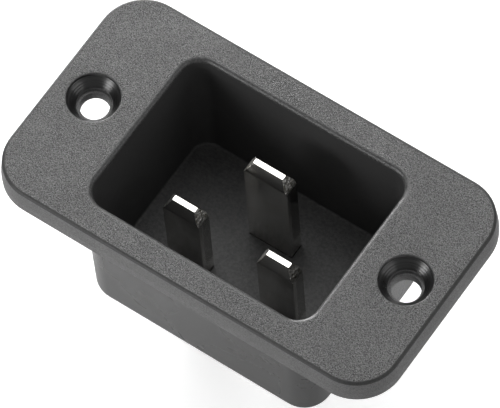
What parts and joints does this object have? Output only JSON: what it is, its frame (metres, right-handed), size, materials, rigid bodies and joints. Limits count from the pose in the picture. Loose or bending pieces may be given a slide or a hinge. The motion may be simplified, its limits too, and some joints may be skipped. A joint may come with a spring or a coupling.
{
  "type": "appliance inlet",
  "caption": "Screw-mounted panel inlet: rounded rectangular flange with countersunk holes, deep open cavity, upright chamfered blades inside and push-on tabs behind.",
  "frame": {"origin": "midway between the two screw holes, on the flange face that meets the panel", "axes": "+X along the flange towards the neutral blade, +Y across it towards the earth blade, +Z out of the cavity, away from the panel"},
  "size_m": [0.0536, 0.03, 0.0299],
  "materials": {
    "moulded_plastic": "finely grained flange, smooth cavity and body",
    "plated_metal": "bright nickel plating on brass"
  },
  "bodies": {
    "root": {"housing": "moulded_plastic", "line_contact": "plated_metal", "neutral_contact": "plated_metal", "earth_contact": "plated_metal"}
  },
  "joints": []
}
